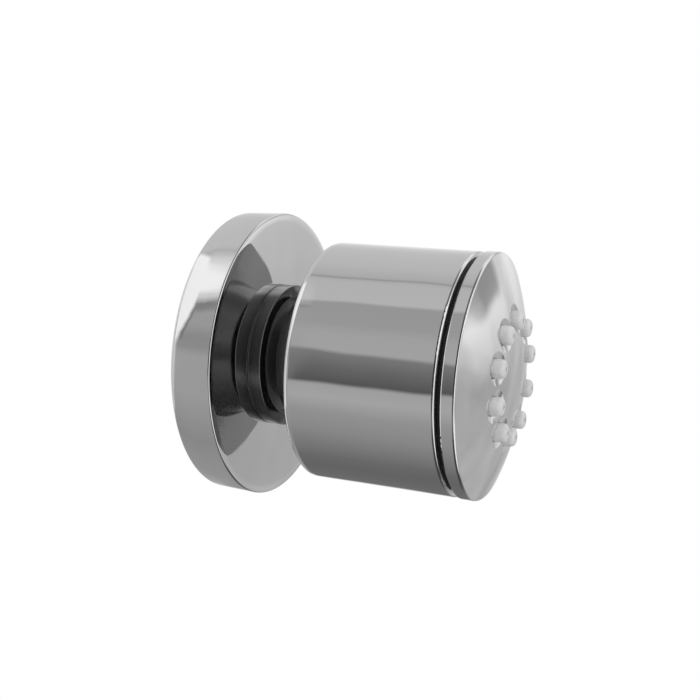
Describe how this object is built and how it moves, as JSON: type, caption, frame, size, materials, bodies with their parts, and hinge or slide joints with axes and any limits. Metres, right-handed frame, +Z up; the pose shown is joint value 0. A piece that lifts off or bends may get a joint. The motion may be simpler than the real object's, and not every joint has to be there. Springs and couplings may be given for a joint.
{
  "type": "shower body jet",
  "caption": "Round wall-mounted shower body jet: chromed drum head with soft nozzles in a domed face, swivelling on a ball joint behind a flat round wall flange.",
  "frame": {"origin": "centre of the wall flange's back, on the finished wall", "axes": "-Y is the direction of the jet, away from the wall; +Z is up; +X is to the right when facing the wall"},
  "size_m": [0.061, 0.0713, 0.061],
  "materials": {
    "chrome": "polished chrome plating on brass",
    "chromed_brass": "turned brass, chromed where it shows",
    "black_rubber": "matt black rubber",
    "white_silicone": "translucent white silicone, satin",
    "white_plastic": "self-lubricating white plastic",
    "grey_plastic": "moulded grey plastic",
    "steel_mesh": "plain stainless steel"
  },
  "bodies": {
    "wall_side": {"wall_flange": "chrome", "wall_gasket": "black_rubber", "flange_grip_ring": "black_rubber", "ball_connector": "chromed_brass", "strainer_washer": "black_rubber", "strainer_mesh": "steel_mesh", "flow_limiter": "grey_plastic", "limiter_o_ring": "black_rubber"},
    "ball_seal": {"ball_seal_ring": "black_rubber"},
    "ball_seat": {"ball_seat_ring": "white_plastic"},
    "head": {"seat_cushion": "black_rubber", "swivel_nut": "chrome", "ball_cup": "white_plastic", "cup_o_ring": "black_rubber", "head_shell": "chrome", "inner_body": "grey_plastic", "groove_ring": "black_rubber", "chamber_o_ring": "black_rubber", "face_plate": "chrome", "nozzle_mat": "white_silicone", "backing_plate": "grey_plastic", "backing_screws": "steel_mesh"}
  },
  "joints": [
    {"name": "swivel_direction", "type": "hinge", "parent": "wall_side", "child": "ball_seal", "pos_m": [0, -0.0196, 0], "axis": [0, -1, 0], "continuous": true},
    {"name": "tilt", "type": "hinge", "parent": "ball_seal", "child": "ball_seat", "pos_m": [0, -0.0196, 0], "axis": [1, 0, 0], "range_deg": [-15, 15]},
    {"name": "head_spin", "type": "hinge", "parent": "ball_seat", "child": "head", "pos_m": [0, -0.0196, 0], "axis": [0, -1, 0], "continuous": true}
  ]
}
